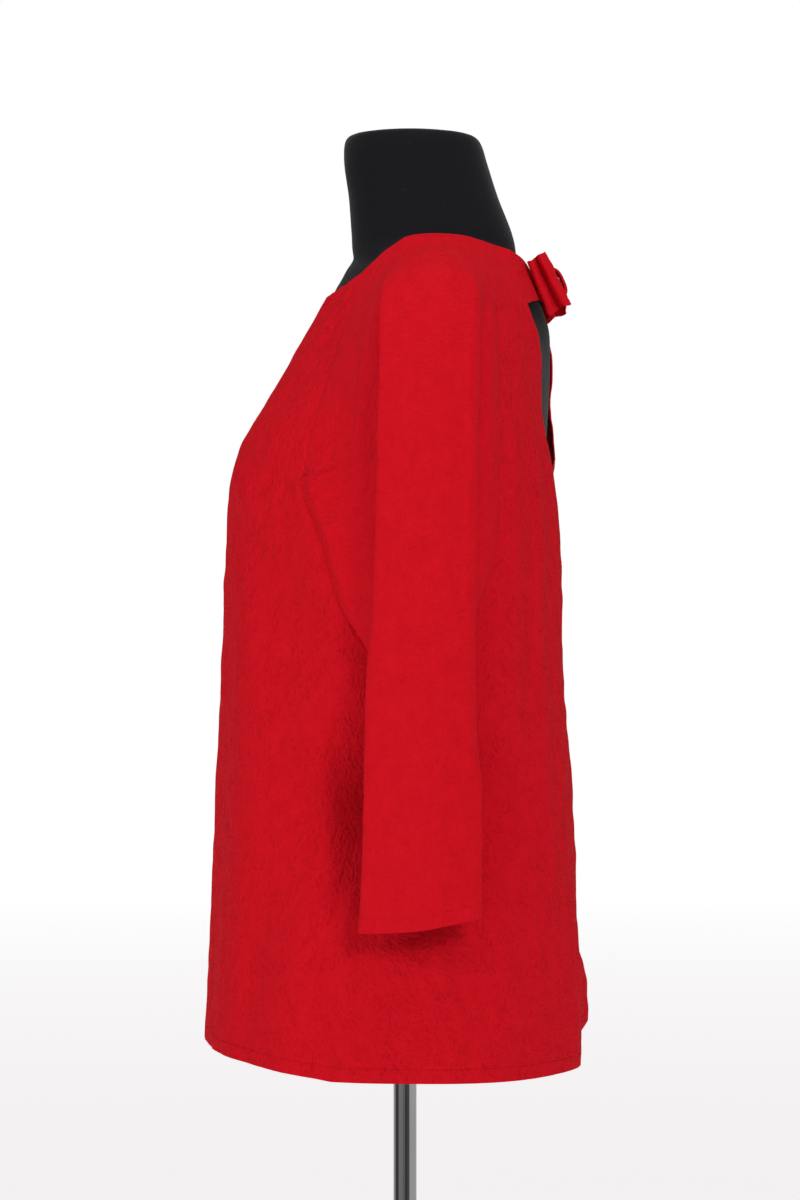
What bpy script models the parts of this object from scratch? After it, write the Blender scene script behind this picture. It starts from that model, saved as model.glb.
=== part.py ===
"""Raglan blouse hanging on a limbless dress form that stands on a steel pole and foot.

+Z is up, the front of the blouse faces -Y and the wearer's left is +X. The origin is the middle of the
foot's underside. The tables below are in millimetres, and the objects are made in metres.

The blouse is cut as a front, two backs that meet at a centre seam below an open slit, and two raglan
sleeves, each in one with its shoulder and with half of the strap that crosses the back of the neck. A bow
sits over the place where the two halves of the strap meet. Every panel is a grid of points: rows run round
the body, numbered from 0 at the neckline to LAST_ROW at the hem, and columns run down it.
"""

import math

import bmesh
import bpy
import numpy as np

MM = 0.001

CLOTH = 1.2  # thickness of every cloth wall
SEAM = 0.5  # gap between two pieces at a seam
HEM_FRONT, HEM_SIDE, HEM_BACK = 741, 730, 727  # heights of the hem
UNDERARM_ROW = 8  # the row where the sleeve closes into a tube and the body closes into a ring
LAST_ROW = 11

# Front panel, one line for each row: the centre front (y, z), the side edge (x, y, z), the y of the widest
# place of that row's oval, and how flat the oval is in front (1 is an ellipse, less is squarer).
FRONT = np.array(
    [
        (-62, 1316, 65, -34, 1330, 20, 1.00),
        (-80, 1282, 86, -43, 1300, 15, 1.00),
        (-108, 1235, 118, -59, 1243, 10, 1.05),
        (-127, 1203, 133, -70, 1207, 5, 0.95),
        (-135.5, 1176, 140, -75, 1178, 5, 0.85),
        (-137.5, 1156, 142, -78, 1163, 5, 0.80),
        (-139, 1118, 155, -63, 1126, 5, 0.80),
        (-140.5, 1060, 165, -44, 1067, 5, 0.80),
        (-142.5, 1008, 177, 0, 1010, 5, 0.80),
        (-146, 935, 182, -18, 935, 5, 0.80),
        (-150, 835, 190, -45, 835, 5, 0.80),
        (-155, HEM_FRONT, 200, -54, HEM_SIDE, 5, 0.80),
    ]
)

# Back panels, from row 2 down: half the width of the slit, the y and z at the centre back, the side edge
# (x, y, z), the y of the widest place, and the flatness of the oval behind.
FIRST_BACK_ROW = 2
BACK = np.array(
    [
        (92, 110, 1305, 138, 68, 1297, 10, 1.40),
        (82, 114, 1277, 151, 69, 1270, 8, 1.15),
        (70, 112, 1236, 157, 70, 1235, 5, 1.00),
        (0, 116, 1184, 160, 70, 1180, 5, 0.90),
        (0, 120.5, 1115, 165, 66, 1110, 5, 0.85),
        (0, 121, 1060, 170, 44, 1060, 5, 0.82),
        (0, 122.5, 1008, 177, 0, 1010, 5, 0.80),
        (0, 128.5, 935, 182, -18, 935, 5, 0.80),
        (0, 134.5, 835, 190, -45, 835, 5, 0.80),
        (0, 137, HEM_BACK, 200, -54, HEM_SIDE, 5, 0.80),
    ]
)

# Left sleeve, one line for each row: the columns between the front seam and the back seam, (x, y, z) each.
# They are the web in front, the front valley, the front fold twice, the outer face, the back fold twice and
# the back valley. From the underarm row down the first and last of them lie on the inner face.
SLEEVE = np.array(
    [
        ((69, -25, 1338), (73, -16, 1346), (76, -7, 1352), (79, 2, 1357), (81, 20, 1359),
         (79, 42, 1358), (74, 56, 1355), (67, 67, 1352)),
        ((93, -34, 1311), (99, -24, 1323), (104, -13, 1333), (109, 0, 1342), (113, 20, 1347),
         (112, 44, 1344), (108, 62, 1336), (101, 78, 1322)),
        ((128, -48, 1262), (141, -34, 1284), (152, -22, 1308), (159, -8, 1325), (164, 18, 1333),
         (162, 42, 1330), (156, 56, 1322), (147, 65, 1308)),
        ((147, -54, 1220), (165, -36, 1240), (184, -22, 1288), (190, -13, 1303), (197, 18, 1313),
         (192, 48, 1310), (182, 60, 1298), (166, 67, 1283)),
        ((156, -56, 1187), (173, -33, 1202), (197, -19, 1250), (204, -15, 1256), (211, 18, 1260),
         (205, 54, 1260), (196, 60, 1253), (172, 66, 1238)),
        ((158, -57, 1161), (175, -31, 1160), (200, -20, 1186), (209, -17, 1190), (216, 18, 1190),
         (209, 52, 1190), (200, 58, 1188), (175, 64, 1180)),
        ((166, -50, 1119), (178, -33, 1111), (202, -22, 1110), (211, -19, 1110), (219, 17, 1110),
         (212, 50, 1110), (202, 56, 1110), (180, 60, 1110)),
        ((173, -38, 1064), (184, -30, 1060), (204, -25, 1060), (213, -21, 1060), (222, 16, 1060),
         (214, 50, 1060), (204, 55, 1060), (185, 50, 1060)),
        ((182, -14, 1013), (190, -24, 1015), (206, -28, 1016), (215, -24, 1016), (224, 15, 1016),
         (216, 49, 1016), (206, 54, 1016), (189, 38, 1015)),
        ((192, -12, 937), (197, -23, 937), (209, -30, 937), (218, -25, 937), (228, 13, 937),
         (219, 49, 937), (210, 54, 937), (196, 36, 937)),
        ((197, -13, 873), (201, -25, 873), (213, -32, 873), (222, -27, 873), (233, 11, 873),
         (224, 49, 873), (215, 54, 873), (201, 37, 873)),
        ((199, -14, 842), (203, -27, 840), (215, -34, 840), (224, -29, 840), (236, 10, 843),
         (227, 49, 850), (217, 54, 851), (203, 38, 850)),
    ],
    float,
)
INNER_SEAM = ((179, 0, 1009), (190.5, 8, 937), (196, 9, 873), (198, 9, 846))  # rows 8 to 11

# Neck strap, upper edge and lower edge, from the shoulder to the centre back: (x, y, z).
STRAP = np.array(
    [
        ((58, 80, 1349), (92, 93, 1305)),
        ((42, 90, 1344), (66, 99, 1309)),
        ((22, 96.5, 1338), (36, 105.5, 1312)),
        ((0, 99.5, 1334), (0, 111, 1310)),
    ],
    float,
)

# Dress form, from the top down: height, front y, back y, half width, y of the widest place, then how much
# of the depth the shoulder keeps in front and behind (1 is a plain oval).
FORM = np.array(
    [
        (1444.5, -36, 43, 39, 4, 1, 1),
        (1442.5, -44, 54, 47, 4, 1, 1),
        (1436, -47.5, 60, 50, 6, 1, 1),
        (1420, -47.5, 65, 51, 8, 1, 1),
        (1395, -44, 73, 53, 14, 1, 1),
        (1368, -42, 83.5, 57, 20, 1, 1),
        (1352, -43, 89, 66, 22, 0.9, 0.9),
        (1342, -46, 93, 98, 22, 0.5, 0.55),
        (1333, -49, 96, 134, 21, 0.45, 0.55),
        (1322, -55, 101, 160, 20, 0.45, 0.6),
        (1309, -61, 107, 171, 18, 0.5, 0.7),
        (1290, -71, 113, 175, 16, 0.6, 0.8),
        (1265, -85, 113.5, 172, 14, 0.72, 0.9),
        (1235, -103, 112.5, 163, 12, 0.85, 0.92),
        (1205, -121, 110.5, 154, 10, 1, 0.97),
        (1175, -131, 110, 149, 8, 1, 1),
        (1140, -130, 109, 146, 6, 1, 1),
        (1090, -114, 106, 140, 4, 1, 1),
        (1030, -100, 99, 127, 2, 1, 1),
        (960, -92, 94, 120, 2, 1, 1),
        (880, -98, 104, 138, 2, 1, 1),
        (800, -104, 114, 156, 4, 1, 1),
        (775, -104, 115, 158, 4, 1, 1),
    ]
)
FORM_SQUARENESS = 0.88  # below the shoulders; 1 is an ellipse
FORM_SIDES = 40
NECK_BUMP = 62  # reach of the neck and chest across a shoulder section

POLE_RADIUS = 9
FLANGE_RADIUS, FLANGE_THICK = 45, 6
SOCKET_RADIUS, SOCKET_HEIGHT = 17, 45
FOOT_RADIUS, FOOT_THICK = 180, 8
CLEAR = 0.3  # gap between hard pieces that touch

# Folds of a panel: each runs between two places, given as the distance round from the centre line or the
# slit and the height, with its half width, how far it stands out (in where that is negative), and the
# length over which it fades past its ends.
FRONT_FOLDS = (
    ((205, 730), (205, 870), 20, 4, 60),
    ((236, 725), (236, 890), 16, -5, 60),
    ((-215, 730), (-205, 860), 24, 4, 60),
    ((-242, 725), (-240, 870), 18, -4, 60),
)
BACK_LEFT_FOLDS = (
    ((108, 715), (100, 830), 34, 6, 60),
    ((45, 715), (45, 850), 26, -4, 60),
    ((8, 1285), (8, 1225), 30, -1.5, 25),
)
BACK_RIGHT_FOLDS = (
    ((118, 715), (112, 870), 34, 12, 60),
    ((50, 715), (50, 850), 26, -4, 60),
    ((12, 1283), (12, 1232), 24, 13, 25),
)
RIGHT_HEM_LIFT = 12  # the hem rises where the right back flares out
EDGE_KEEP = 18  # a fold fades out over this distance from a seam with the sleeve or the other panel

BOW_CENTRE = np.array((0, 116, 1327))
BOW_TILT = math.radians(24)  # the top of the bow leans towards the neck
BOW_SAG = 9  # the ends of the loops bend this far back round the neck
LOOP_HEIGHT, LOOP_WAIST = 48, 14  # height of a loop at its end and where the knot pinches it
LOOP_SPREAD = 0.15  # how much deeper a loop is at its lower edge, and thinner at its upper edge
# One loop seen from above: distance out from the knot and depth behind the strap, round its two rolls.
LOOP_PATH = np.array(
    [
        (6, -3), (18, -5), (32, -7), (43, -8.5), (49, -6), (48.5, -2.5), (42, -0.3), (48, 2.5),
        (50, 6), (44, 8.5), (32, 7), (18, 5), (6, 3),
    ],
    float,
)
KNOT_WIDTH, KNOT_HEIGHT, KNOT_DEPTH = 20, 26, 19

RED = (0.62, 0.012, 0.022, 1)
BLACK = (0.012, 0.012, 0.014, 1)
STEEL = (0.62, 0.62, 0.63, 1)


def through(knots, values, at):
    """Smooth curve through the values at the knots: cubic pieces whose slopes come from the neighbours."""
    knots = np.asarray(knots, float)
    values = np.asarray(values, float)
    at = np.asarray(at, float)
    slopes = np.gradient(values, knots, axis=0)
    i = np.clip(np.searchsorted(knots, at, side="right") - 1, 0, len(knots) - 2)
    shape = (len(at),) + (1,) * (values.ndim - 1)
    step = (knots[i + 1] - knots[i]).reshape(shape)
    t = ((at - knots[i]) / (knots[i + 1] - knots[i])).reshape(shape)
    return (
        (2 * t**3 - 3 * t**2 + 1) * values[i]
        + (t**3 - 2 * t**2 + t) * step * slopes[i]
        + (3 * t**2 - 2 * t**3) * values[i + 1]
        + (t**3 - t**2) * step * slopes[i + 1]
    )


def steps(counts, start=0):
    """Parameters that run from start through whole numbers, with counts[i] equal steps in each unit."""
    runs = [start + i + np.arange(n) / n for i, n in enumerate(counts)]
    return np.append(np.concatenate(runs), start + len(counts))


ROWS_DOWN_TO_UNDERARM = steps((2, 4, 2, 2, 2, 3, 3, 3))
ROWS_TO_HEM = steps((3, 4, 4), UNDERARM_ROW)[1:]
ROWS_TO_CUFF = steps((3, 2, 1), UNDERARM_ROW)[1:]
FRONT_COLUMNS = 18
BACK_COLUMNS = 11
SLEEVE_COLUMNS = steps((1, 2, 2, 1, 3, 3, 1, 2, 1))


def oval(angle, half_width, mid, depth, flat):
    """Point of an oval at an angle from its front or back: the sine gives x and the cosine gives y."""
    x = half_width * np.sin(angle) ** np.minimum(flat, 1)
    return x, mid + depth * np.abs(np.cos(angle)) ** flat


def reach_of_edge(edge_x, edge_y, mid, depth, flat):
    """Angle and half width of the oval that passes through a side edge."""
    share = np.clip((edge_y - mid) / depth, 0, 1) ** (1 / flat)
    angle = np.arccos(share)
    return angle, edge_x / np.sin(angle) ** np.minimum(flat, 1)


def front_grid():
    """Rows of ovals from the right side edge over the centre front to the left side edge."""
    rows = np.append(ROWS_DOWN_TO_UNDERARM, ROWS_TO_HEM)
    table = through(range(LAST_ROW + 1), FRONT, rows)[:, None, :]
    centre_y, centre_z, edge_x, edge_y, edge_z, mid, flat = np.moveaxis(table, 2, 0)
    across = np.linspace(-1, 1, FRONT_COLUMNS + 1)
    angle, half_width = reach_of_edge(edge_x, edge_y, mid, centre_y - mid, flat)
    x, y = oval(np.abs(across) * angle, half_width, mid, centre_y - mid, flat)
    z = centre_z + (edge_z - centre_z) * np.abs(across) ** 2.5
    return np.stack([np.sign(across) * x, y, np.broadcast_to(z, x.shape)], axis=2)


def back_grid():
    """Rows of the left back, from its side edge to the slit or the centre back seam."""
    rows = np.append(ROWS_DOWN_TO_UNDERARM[ROWS_DOWN_TO_UNDERARM >= FIRST_BACK_ROW], ROWS_TO_HEM)
    knots = np.arange(FIRST_BACK_ROW, LAST_ROW + 1)
    table = through(knots, BACK, rows)[:, None, :]
    _, centre_y, centre_z, edge_x, edge_y, edge_z, mid, flat = np.moveaxis(table, 2, 0)
    front = through(range(LAST_ROW + 1), FRONT, rows)[:, None, :]
    side_seam = rows[:, None] >= UNDERARM_ROW
    edge_x, edge_y, edge_z = (
        np.where(side_seam, front[..., k], own) for k, own in ((2, edge_x), (3, edge_y), (4, edge_z))
    )
    slit = np.maximum(np.sqrt(np.interp(rows, knots, BACK[:, 0] ** 2)), SEAM / 2)[:, None]
    behind = edge_y > mid
    depth = np.where(behind, centre_y, front[..., 0]) - mid
    edge, half_width = reach_of_edge(edge_x, edge_y, mid, depth, flat)
    edge = np.where(behind, edge, math.pi - edge) - SEAM / half_width
    start = np.arcsin((slit / half_width) ** (1 / np.minimum(flat, 1)))
    share = np.linspace(0, 1, BACK_COLUMNS + 1)
    angle = edge + (start - edge) * share
    depth = np.where(angle < math.pi / 2, centre_y, front[..., 0]) - mid
    x, y = oval(angle, half_width, mid, depth, flat)
    z = edge_z + (centre_z - edge_z) * share
    z[0] -= SEAM
    return np.stack([x, y, z], axis=2)


def side_edges():
    """Front and back edges of the left sleeve, along the front panel and the back panel, at their rows."""
    front = front_grid()[: len(ROWS_DOWN_TO_UNDERARM), -1]
    back = back_grid()
    above = ROWS_DOWN_TO_UNDERARM[ROWS_DOWN_TO_UNDERARM <= 2]
    seam = back[0, ::-1]
    along = np.linspace(1, 2, len(seam))
    over_back = through(along, seam, above[above >= 1])
    neck_to_seam = STRAP[0, 0] + (STRAP[0, 1] - STRAP[0, 0]) * above[above < 1][:, None]
    neck_to_seam += (over_back[0] - STRAP[0, 1]) * above[above < 1][:, None]
    down = back[1 : 1 + np.sum(ROWS_DOWN_TO_UNDERARM > 2), 0]
    return front, np.concatenate([neck_to_seam, over_back, down])


def sleeve_grid():
    """Rows from the front seam over the shoulder and the outer face to the back seam, then a closed tube."""
    rows = np.append(ROWS_DOWN_TO_UNDERARM, ROWS_TO_CUFF)
    middle = through(range(LAST_ROW + 1), SLEEVE, rows)
    front, back = side_edges()
    inner = through(range(UNDERARM_ROW, LAST_ROW + 1), INNER_SEAM, ROWS_TO_CUFF)
    edge_rows = len(front)
    front[-1] = back[-1] = INNER_SEAM[0]
    edges = [np.concatenate([edge, inner])[:, None] for edge in (front, back)]
    knots = np.concatenate([edges[0], middle, edges[1]], axis=1)
    grid = np.moveaxis(through(range(10), np.moveaxis(knots, 1, 0), SLEEVE_COLUMNS), 0, 1).copy()
    for edge, beside in ((0, 1), (-1, -2)):
        inward = grid[: edge_rows - 1, beside] - grid[: edge_rows - 1, edge]
        inward /= np.linalg.norm(inward, axis=1)[:, None]
        first = 0 if edge == 0 else np.argmax(rows >= 1)
        grid[first : edge_rows - 1, edge] += SEAM * inward[first:]
    return grid


def strap_grid(sleeve):
    """The strap from the sleeve's last column to the centre back, with as many rows as the sleeve has there."""
    rows = int(np.sum(ROWS_DOWN_TO_UNDERARM <= 1))
    down = np.linspace(0, 1, rows)[None, :, None]
    along = through(range(len(STRAP)), STRAP, steps((3, 3, 3)))
    grid = along[:, :1] + (along[:, 1:] - along[:, :1]) * down
    grid[0] = sleeve[:rows, -1]
    grid[-1, :, 0] = SEAM / 2
    return np.moveaxis(grid, 0, 1)


def add_grid(mesh, points, flip=False):
    """Adds a grid of quads to a bmesh."""
    count, across = points.shape[:2]
    verts = [mesh.verts.new(point * MM) for point in points.reshape(-1, 3)]
    for i in range(count - 1):
        for j in range(across - 1):
            k = i * across + j
            quad = [verts[k], verts[k + across], verts[k + across + 1], verts[k + 1]]
            mesh.faces.new(quad[::-1] if flip else quad)


def add_object(name, mesh, material):
    """Makes an object from a bmesh, gives it its material and shades it smooth."""
    data = bpy.data.meshes.new(name)
    mesh.to_mesh(data)
    mesh.free()
    data.materials.append(material)
    data.shade_smooth()
    obj = bpy.data.objects.new(name, data)
    parts.objects.link(obj)
    return obj


def add_cloth(name, grids, flip=False):
    """A cloth piece: its grids sewn into one sheet, with a wall grown inwards from it."""
    mesh = bmesh.new()
    for grid in grids:
        add_grid(mesh, grid, flip)
    bmesh.ops.remove_doubles(mesh, verts=mesh.verts, dist=0.01 * MM)
    bmesh.ops.triangulate(mesh, faces=mesh.faces)
    piece = add_object(name, mesh, red_cloth)
    wall = piece.modifiers.new("Wall", "SOLIDIFY")
    wall.thickness = CLOTH * MM
    wall.offset = -1
    return piece


def mirrored(grid):
    return grid * (-1, 1, 1)


def distance_round(grid):
    """Distance in plan along each row from its first column."""
    step = np.linalg.norm(np.diff(grid[..., :2], axis=1), axis=2)
    return np.concatenate([np.zeros((len(grid), 1)), np.cumsum(step, axis=1)], axis=1)


def fold_out(grid, arc, to_edge, folds):
    """Moves a panel along its plan normal by soft ridges and troughs, each a bell across a line.

    arc is each point's distance round from the centre line, and no point on the side edge moves.
    """
    across = np.gradient(grid[..., :2], axis=1)
    normal = np.stack([across[..., 1], -across[..., 0]], axis=2)
    normal /= np.linalg.norm(normal, axis=2)[..., None]
    place = np.stack([arc, grid[..., 2]], axis=2)
    out = np.zeros(arc.shape)
    for start, end, width, amount, taper in folds:
        line = np.subtract(end, start)
        length = np.linalg.norm(line)
        along = (place - start) @ line / length
        aside = ((place[..., 0] - start[0]) * line[1] - (place[..., 1] - start[1]) * line[0]) / length
        past = np.maximum(0, np.maximum(-along, along - length))
        out += amount * np.exp(-((aside / width) ** 2) - (past / taper) ** 2)
    moved = grid.copy()
    moved[..., :2] += normal * (out * np.clip(to_edge / EDGE_KEEP, 0, 1))[..., None]
    return moved


def folded_front():
    grid = front_grid()
    round_it = distance_round(grid)
    centre = round_it[:, FRONT_COLUMNS // 2, None]
    to_edge = np.minimum(round_it, round_it[:, -1:] - round_it)
    return fold_out(grid, round_it - centre, to_edge, FRONT_FOLDS)


def folded_back(folds):
    grid = back_grid()
    round_it = distance_round(grid)
    to_edge = np.minimum(round_it, grid[0, :, 2] - grid[..., 2])
    return fold_out(grid, round_it[:, -1:] - round_it, to_edge, folds)


def lifted_hem(grid, arc, width, lift):
    """Raises the hem of a back round one distance from its centre seam."""
    round_it = distance_round(grid)
    aside = (round_it[:, -1:] - round_it - arc) / width
    above = (grid[..., 2] - HEM_BACK) / width
    raised = grid.copy()
    raised[..., 2] += lift * np.exp(-(aside**2) - above**2)
    return raised


def make_front():
    add_cloth("front", [folded_front()])


def make_backs():
    add_cloth("back_left", [folded_back(BACK_LEFT_FOLDS)])
    (flare, _), _, width = BACK_RIGHT_FOLDS[0][:3]
    right = lifted_hem(folded_back(BACK_RIGHT_FOLDS), flare, width, RIGHT_HEM_LIFT)
    add_cloth("back_right", [mirrored(right)], flip=True)


def make_sleeves():
    left = sleeve_grid()
    strap = strap_grid(left)
    add_cloth("sleeve_left", [left, strap])
    add_cloth("sleeve_right", [mirrored(left), mirrored(strap)], flip=True)


def bow_point(out, behind, up):
    """Place of a point of the bow, given in its own directions: out to the left, behind the strap, and up."""
    behind = behind - BOW_SAG * (out / LOOP_PATH[:, 0].max()) ** 2
    sine, cosine = math.sin(BOW_TILT), math.cos(BOW_TILT)
    y = behind * cosine - up * sine
    z = behind * sine + up * cosine
    return np.stack([out, y, z], axis=-1) + BOW_CENTRE


def loop_grid():
    """The strip of a bow loop: closed round its two rolls, and lower where the knot pinches it."""
    path = np.concatenate([LOOP_PATH, LOOP_PATH[:1]])
    out, behind = path.T[:, None, :]
    reach = np.clip((out - KNOT_WIDTH / 2) / 30, 0, 1)
    half = (LOOP_WAIST + (LOOP_HEIGHT - LOOP_WAIST) * np.sin(reach * math.pi / 2)) / 2
    share = np.linspace(-1, 1, 5)[:, None]
    return bow_point(*np.broadcast_arrays(out, behind * (1 - LOOP_SPREAD * share * reach), share * half))


def knot_grid():
    """The band round the pinched middle: an oval ring, wider in its middle."""
    angle = np.linspace(0, 2 * math.pi, 21)[:, None]
    along = np.linspace(-1, 1, 3)[None, :]
    swell = 1 - 0.12 * along**2
    behind = KNOT_DEPTH / 2 * np.sign(np.cos(angle)) * np.abs(np.cos(angle)) ** 0.7 * swell
    up = KNOT_HEIGHT / 2 * np.sign(np.sin(angle)) * np.abs(np.sin(angle)) ** 0.7 * swell
    return bow_point(*np.broadcast_arrays(KNOT_WIDTH / 2 * along, behind, up))


def make_bow():
    loop = loop_grid()
    add_cloth("bow_loop_left", [loop], flip=True)
    add_cloth("bow_loop_right", [mirrored(loop)])
    add_cloth("bow_knot", [knot_grid()])


def make_material(name, colour, roughness, metallic=0.0):
    material = bpy.data.materials.new(name)
    material.use_nodes = True
    shader = material.node_tree.nodes["Principled BSDF"]
    shader.inputs["Base Color"].default_value = colour
    shader.inputs["Roughness"].default_value = roughness
    shader.inputs["Metallic"].default_value = metallic
    material.diffuse_color = colour
    return material


def form_section(row):
    """One ring of the dress form: an oval, which at the shoulders thins to a lobe beside the neck and chest."""
    height, front, back, half_width, mid, keep_front, keep_back = row
    angle = np.arange(FORM_SIDES) / FORM_SIDES * 2 * math.pi
    low = np.clip((1300 - height) / 80, 0, 1)
    power = 1 + (FORM_SQUARENESS - 1) * low
    x = half_width * np.sign(np.sin(angle)) * np.abs(np.sin(angle)) ** power
    ahead = np.cos(angle) > 0
    depth = np.where(ahead, front, back) - mid
    keep = np.where(ahead, keep_front, keep_back)
    round_part = np.abs(np.cos(angle)) ** power
    bump = np.exp(-((x / NECK_BUMP) ** 2)) - np.exp(-((half_width / NECK_BUMP) ** 2))
    y = mid + depth * (keep * round_part + (1 - keep) * bump)
    return np.stack([x, y, np.full(FORM_SIDES, height)], axis=1)


def make_form():
    counts = [1, 1, 2, 2, 2, 1, 2, 2, 2, 2, 2, 2, 2, 2, 2, 2, 3, 3, 3, 3, 3, 1]
    table = through(range(len(FORM)), FORM, steps(counts))
    rings = np.array([form_section(row) for row in table])
    mesh = bmesh.new()
    add_grid(mesh, np.concatenate([rings, rings[:, :1]], axis=1))
    bmesh.ops.remove_doubles(mesh, verts=mesh.verts, dist=0.01 * MM)
    bmesh.ops.holes_fill(mesh, edges=[edge for edge in mesh.edges if edge.is_boundary], sides=0)
    bmesh.ops.recalc_face_normals(mesh, faces=mesh.faces)
    bmesh.ops.triangulate(mesh, faces=mesh.faces)
    add_object("form_torso", mesh, black_jersey)


def make_disc(name, radius, bottom, top, sides=64):
    mesh = bmesh.new()
    bmesh.ops.create_cone(
        mesh,
        cap_ends=True,
        segments=sides,
        radius1=radius * MM,
        radius2=radius * MM,
        depth=(top - bottom) * MM,
    )
    bmesh.ops.translate(mesh, verts=mesh.verts, vec=(0, 0, (top + bottom) / 2 * MM))
    add_object(name, mesh, steel).data.set_sharp_from_angle(angle=math.radians(40))


def make_stand():
    form_bottom = FORM[-1, 0]
    flange_top = form_bottom - CLEAR
    flange_bottom = flange_top - FLANGE_THICK
    make_disc("pole_flange", FLANGE_RADIUS, flange_bottom, flange_top, 40)
    socket_bottom = FOOT_THICK + CLEAR
    socket_top = socket_bottom + SOCKET_HEIGHT
    make_disc("pole", POLE_RADIUS, socket_top + CLEAR, flange_bottom - CLEAR, 32)
    make_disc("pole_socket", SOCKET_RADIUS, socket_bottom, socket_top, 40)
    make_disc("base_plate", FOOT_RADIUS, 0, FOOT_THICK, 96)


for old in list(bpy.data.objects):
    bpy.data.objects.remove(old)

parts = bpy.data.collections.new("raglan_blouse_on_dress_form")
bpy.context.scene.collection.children.link(parts)
red_cloth = make_material("red_cloth", RED, 0.85)
black_jersey = make_material("black_jersey", BLACK, 0.9)
steel = make_material("bright_steel", STEEL, 0.25, 1.0)

make_front()
make_backs()
make_sleeves()
make_bow()
make_form()
make_stand()
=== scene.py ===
"""Looks of a red raglan blouse worn by a black limbless dress form on a steel pole and foot.

+Z is up, the front of the blouse faces -Y and the wearer's left is +X. The tables are in millimetres, and
the meshes are made in metres. Each cloth piece is a grid of points worked out on its panel's solid, moved
along its own normal by the folds and creases listed here, and given a wall. Every cloth piece has a UV map
in metres, so that the crinkle runs along and across the cloth, and the distance to its nearest finished
edge as an attribute, for the turned and stitched hem.
"""

import math

import bpy
import numpy as np
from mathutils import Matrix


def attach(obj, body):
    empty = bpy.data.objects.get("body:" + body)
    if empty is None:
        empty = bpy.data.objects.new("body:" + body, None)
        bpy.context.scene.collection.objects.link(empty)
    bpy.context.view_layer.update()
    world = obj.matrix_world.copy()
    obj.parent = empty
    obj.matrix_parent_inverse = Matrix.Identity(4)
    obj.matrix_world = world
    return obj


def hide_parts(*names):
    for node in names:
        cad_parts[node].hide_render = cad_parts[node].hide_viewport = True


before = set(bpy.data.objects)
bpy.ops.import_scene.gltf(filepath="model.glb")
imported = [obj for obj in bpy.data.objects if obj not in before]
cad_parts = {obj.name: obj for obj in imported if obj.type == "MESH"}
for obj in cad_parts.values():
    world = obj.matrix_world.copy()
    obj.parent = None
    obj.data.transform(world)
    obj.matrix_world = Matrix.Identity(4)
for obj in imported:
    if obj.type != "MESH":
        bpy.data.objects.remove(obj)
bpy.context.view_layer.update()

MM = 0.001

# ---------------------------------------------------------------- the cut of the blouse, in millimetres

CLOTH = 1.0  # thickness of the cloth
SEAM = 0.04  # gap between two pieces at a seam
HEM_FRONT, HEM_SIDE, HEM_BACK = 741, 730, 727  # heights of the hem
UNDERARM_ROW = 8  # the row where the sleeve closes into a tube and the body closes into a ring
LAST_ROW = 11

# Front panel, one line for each row: the centre front (y, z), the side edge (x, y, z), the y of the widest
# place of that row's oval, and how flat the oval is in front (1 is an ellipse, less is squarer).
FRONT = np.array(
    [
        (-62, 1316, 65, -34, 1330, 20, 1.00),
        (-80, 1282, 86, -43, 1300, 15, 1.00),
        (-108, 1235, 118, -59, 1243, 10, 1.05),
        (-127, 1203, 133, -70, 1207, 5, 0.95),
        (-135.5, 1176, 140, -75, 1178, 5, 0.85),
        (-137.5, 1156, 142, -78, 1163, 5, 0.80),
        (-139, 1118, 155, -63, 1126, 5, 0.80),
        (-140.5, 1060, 165, -44, 1067, 5, 0.80),
        (-142.5, 1008, 177, 0, 1010, 5, 0.80),
        (-146, 935, 182, -18, 935, 5, 0.80),
        (-150, 835, 190, -45, 835, 5, 0.80),
        (-155, HEM_FRONT, 200, -54, HEM_SIDE, 5, 0.80),
    ]
)

# Back panels, from row 2 down: half the width of the slit, the y and z at the centre back, the side edge
# (x, y, z), the y of the widest place, and the flatness of the oval behind.
FIRST_BACK_ROW = 2
BACK = np.array(
    [
        (92, 110, 1305, 138, 68, 1297, 10, 1.40),
        (82, 114, 1277, 151, 69, 1270, 8, 1.15),
        (70, 112, 1236, 157, 70, 1235, 5, 1.00),
        (0, 116, 1184, 160, 70, 1180, 5, 0.90),
        (0, 120.5, 1115, 165, 66, 1110, 5, 0.85),
        (0, 121, 1060, 170, 44, 1060, 5, 0.82),
        (0, 122.5, 1008, 177, 0, 1010, 5, 0.80),
        (0, 128.5, 935, 182, -18, 935, 5, 0.80),
        (0, 134.5, 835, 190, -45, 835, 5, 0.80),
        (0, 137, HEM_BACK, 200, -54, HEM_SIDE, 5, 0.80),
    ]
)

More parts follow.
